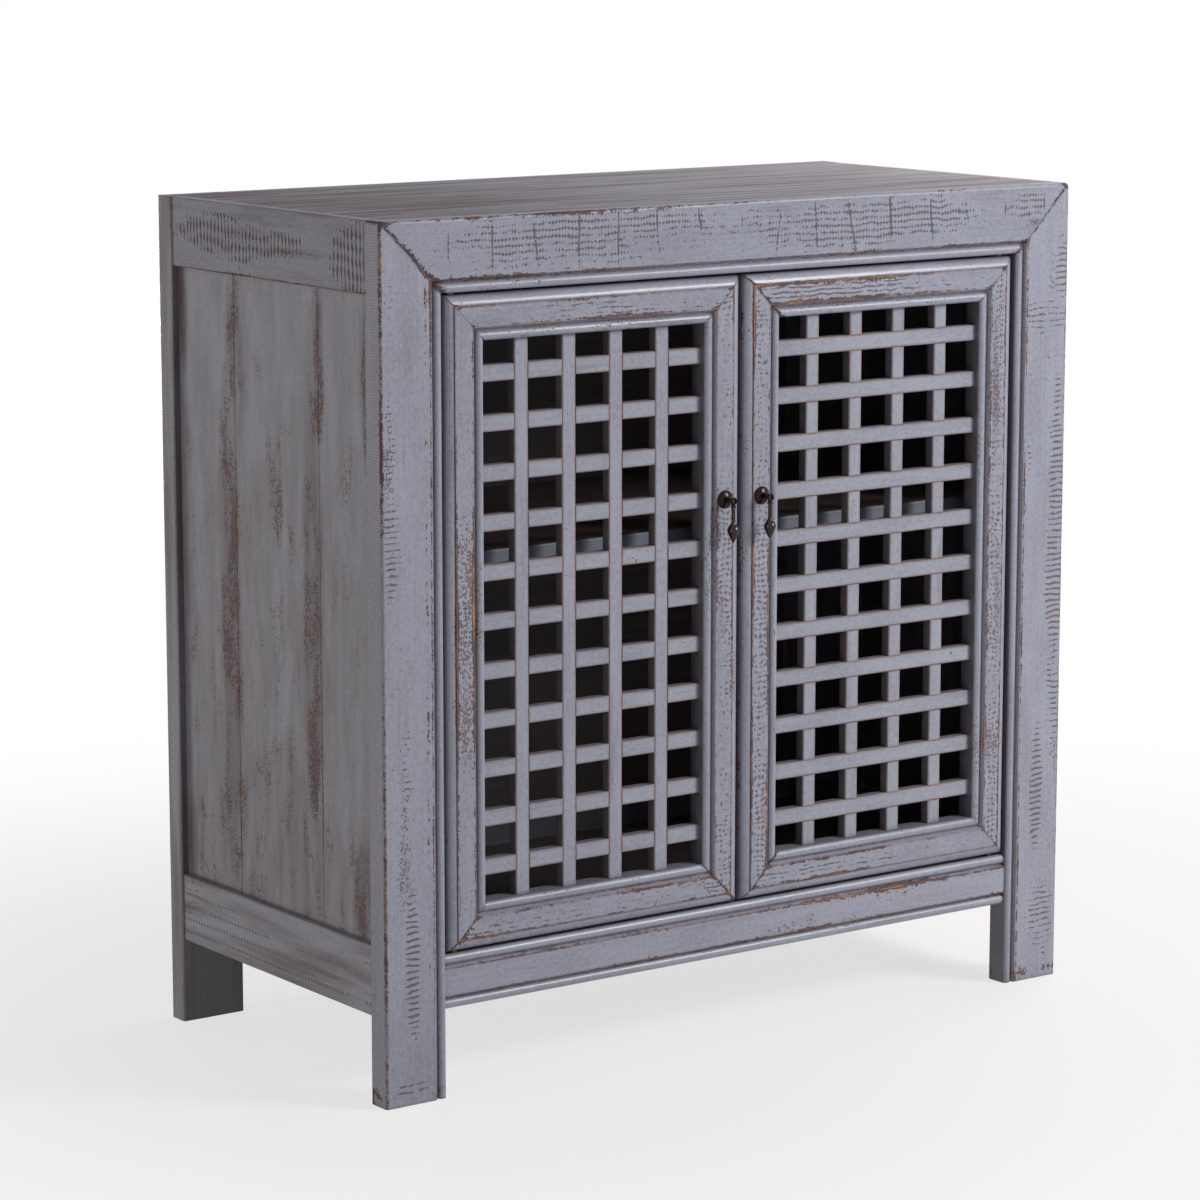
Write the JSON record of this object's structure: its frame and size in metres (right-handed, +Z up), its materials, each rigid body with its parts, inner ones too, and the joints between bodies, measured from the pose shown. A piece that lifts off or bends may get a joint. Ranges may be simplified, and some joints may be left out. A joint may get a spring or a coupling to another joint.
{
  "type": "accent cabinet",
  "caption": "Painted wooden cabinet with a mitred, beaded front frame and lattice doors on concealed pivots, with drop pulls and a shelf.",
  "frame": {"origin": "on the floor, at the middle of the box that holds the whole cabinet with its pulls", "axes": "+X to the right as seen from the front, +Y to the back, +Z up"},
  "size_m": [0.8, 0.4002, 0.795],
  "materials": {
    "grey_paint": "worn blue-grey paint over brown wood",
    "shelf_paint": "thin grey paint on a dark board",
    "dark_interior": "dark brown stain",
    "bare_wood": "planed, unfinished",
    "dark_bronze": "antique bronze",
    "bush_brass": "turned",
    "steel": "zinc plated",
    "catch_plastic": "moulded brown plastic"
  },
  "bodies": {
    "cabinet": {"back_bottom_rail": "grey_paint", "back_left_leg": "grey_paint", "back_panel": "dark_interior", "back_right_leg": "grey_paint", "back_top_rail": "grey_paint", "bottom_panel": "dark_interior", "catch_block": "dark_interior", "catch_block_screws": "steel", "catch_screws": "steel", "cleat_screws": "steel", "frame_mitre_keys": "bare_wood", "front_bottom_rail": "grey_paint", "front_left_leg": "grey_paint", "front_right_leg": "grey_paint", "front_top_rail": "grey_paint", "left_shelf_cleat": "dark_interior", "left_side_boards": "grey_paint", "left_side_bottom_rail": "grey_paint", "left_side_top_rail": "grey_paint", "magnetic_catch": "catch_plastic", "pivot_bushes": "bush_brass", "right_shelf_cleat": "dark_interior", "right_side_boards": "grey_paint", "right_side_bottom_rail": "grey_paint", "right_side_top_rail": "grey_paint", "shelf": "shelf_paint", "top_boards": "grey_paint"},
    "left_door": {"left_door_bottom_rail": "grey_paint", "left_door_crossbars": "grey_paint", "left_door_hinge_stile": "grey_paint", "left_door_meeting_stile": "grey_paint", "left_door_mitre_keys": "bare_wood", "left_door_pivot_pins": "steel", "left_door_top_rail": "grey_paint", "left_door_uprights": "grey_paint", "left_pull_nut": "dark_bronze", "left_pull_pin": "dark_bronze", "left_pull_post": "dark_bronze", "left_pull_rosette": "dark_bronze", "left_strike_plate": "steel", "left_strike_screws": "steel"},
    "right_door": {"right_door_bottom_rail": "grey_paint", "right_door_crossbars": "grey_paint", "right_door_hinge_stile": "grey_paint", "right_door_meeting_stile": "grey_paint", "right_door_mitre_keys": "bare_wood", "right_door_pivot_pins": "steel", "right_door_top_rail": "grey_paint", "right_door_uprights": "grey_paint", "right_pull_nut": "dark_bronze", "right_pull_pin": "dark_bronze", "right_pull_post": "dark_bronze", "right_pull_rosette": "dark_bronze", "right_strike_plate": "steel", "right_strike_screws": "steel"},
    "left_pendant": {"left_pull_pendant": "dark_bronze"},
    "right_pendant": {"right_pull_pendant": "dark_bronze"}
  },
  "joints": [
    {"name": "left_door_hinge", "type": "hinge", "parent": "cabinet", "child": "left_door", "pos_m": [-0.3195, -0.1699, 0.43], "axis": [0, 0, -1], "range_deg": [0, 105]},
    {"name": "right_door_hinge", "type": "hinge", "parent": "cabinet", "child": "right_door", "pos_m": [0.3195, -0.1699, 0.43], "axis": [0, 0, 1], "range_deg": [0, 105]},
    {"name": "left_pull_swing", "type": "hinge", "parent": "left_door", "child": "left_pendant", "pos_m": [-0.0215, -0.1944, 0.52], "axis": [-1, 0, 0], "range_deg": [-12, 90]},
    {"name": "right_pull_swing", "type": "hinge", "parent": "right_door", "child": "right_pendant", "pos_m": [0.0215, -0.1944, 0.52], "axis": [-1, 0, 0], "range_deg": [-12, 90]}
  ]
}
